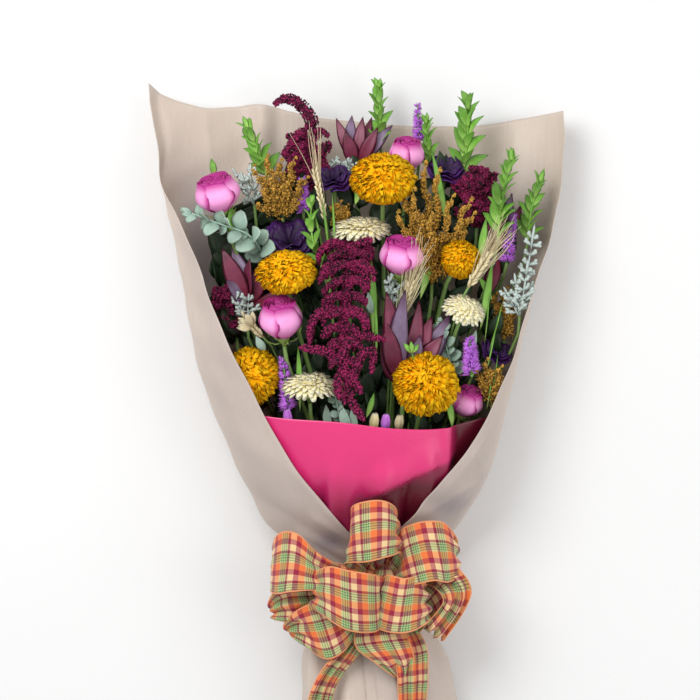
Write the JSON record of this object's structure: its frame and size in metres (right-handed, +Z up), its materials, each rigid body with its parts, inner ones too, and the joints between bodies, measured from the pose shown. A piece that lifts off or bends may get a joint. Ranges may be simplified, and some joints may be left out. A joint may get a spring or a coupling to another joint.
{
  "type": "mixed flower bouquet",
  "caption": "Mixed flower bouquet lying on its back in a kraft paper wrapper with a pink inner paper and a plaid ribbon bow tied at the neck.",
  "frame": {"origin": "on the surface that it lies on, at the middle of the flat of the wrapper's back under the flower heads", "axes": "+Y from the tie to the flower heads, +Z up from the surface to the front of the bouquet, +X to the right seen from above"},
  "size_m": [0.461, 0.756, 0.1707],
  "materials": {
    "kraft_paper": "brown kraft paper, satin sheen",
    "pink_paper": "hot pink paper, satin sheen",
    "twine": "natural twine",
    "wire": "green coated florist wire",
    "ribbon": "woven plaid in orange, cream, green and burgundy, wired edges",
    "stem": "fresh green stem",
    "rose_petal": "soft pink-lilac petal with deeper edge",
    "marigold_petal": "matt orange ruffled petal",
    "chrysanthemum_petal": "cream petal",
    "lisianthus_petal": "dark purple velvety petal",
    "amaranth_floret": "burgundy florets",
    "leucadendron_leaf": "maroon leathery leaf with pale bloom",
    "eucalyptus_leaf": "grey-green waxy leaf",
    "wheat_ear": "dry straw",
    "liatris_floret": "lilac threadlike florets",
    "bronze_seed": "bronze seed clusters",
    "dusty_miller_leaf": "silver felted leaf",
    "green_leaf": "fresh green leaf"
  },
  "bodies": {
    "root": {"kraft_wrapper": "kraft_paper", "pink_paper": "pink_paper", "stem_tie": "twine", "bow_wire": "wire", "bow_ribbon": "ribbon", "stems": "stem", "rose_1": "rose_petal", "rose_2": "rose_petal", "rose_3": "rose_petal", "rose_4": "rose_petal", "rose_5": "rose_petal", "marigold_1": "marigold_petal", "marigold_2": "marigold_petal", "marigold_3": "marigold_petal", "marigold_4": "marigold_petal", "marigold_5": "marigold_petal", "chrysanthemum_1": "chrysanthemum_petal", "chrysanthemum_2": "chrysanthemum_petal", "chrysanthemum_3": "chrysanthemum_petal", "lisianthus_1": "lisianthus_petal", "lisianthus_2": "lisianthus_petal", "lisianthus_3": "lisianthus_petal", "lisianthus_4": "lisianthus_petal", "amaranth_1": "amaranth_floret", "amaranth_2": "amaranth_floret", "amaranth_3": "amaranth_floret", "amaranth_4": "amaranth_floret", "leucadendron_1": "leucadendron_leaf", "leucadendron_2": "leucadendron_leaf", "leucadendron_3": "leucadendron_leaf", "leucadendron_4": "leucadendron_leaf", "eucalyptus_1": "eucalyptus_leaf", "eucalyptus_2": "eucalyptus_leaf", "eucalyptus_3": "eucalyptus_leaf", "wheat_1": "wheat_ear", "wheat_2": "wheat_ear", "wheat_3": "wheat_ear", "wheat_4": "wheat_ear", "liatris_1": "liatris_floret", "liatris_2": "liatris_floret", "liatris_3": "liatris_floret", "liatris_4": "liatris_floret", "liatris_5": "liatris_floret", "bronze_spray_1": "bronze_seed", "bronze_spray_2": "bronze_seed", "bronze_spray_3": "bronze_seed", "bronze_spray_4": "bronze_seed", "bronze_spray_5": "bronze_seed", "dusty_miller_1": "dusty_miller_leaf", "dusty_miller_2": "dusty_miller_leaf", "dusty_miller_3": "dusty_miller_leaf", "dusty_miller_4": "dusty_miller_leaf", "dusty_miller_5": "dusty_miller_leaf", "green_sprig_1": "green_leaf", "green_sprig_2": "green_leaf", "green_sprig_3": "green_leaf", "green_sprig_4": "green_leaf", "green_sprig_5": "green_leaf", "green_sprig_6": "green_leaf", "green_sprig_7": "green_leaf"}
  },
  "joints": []
}
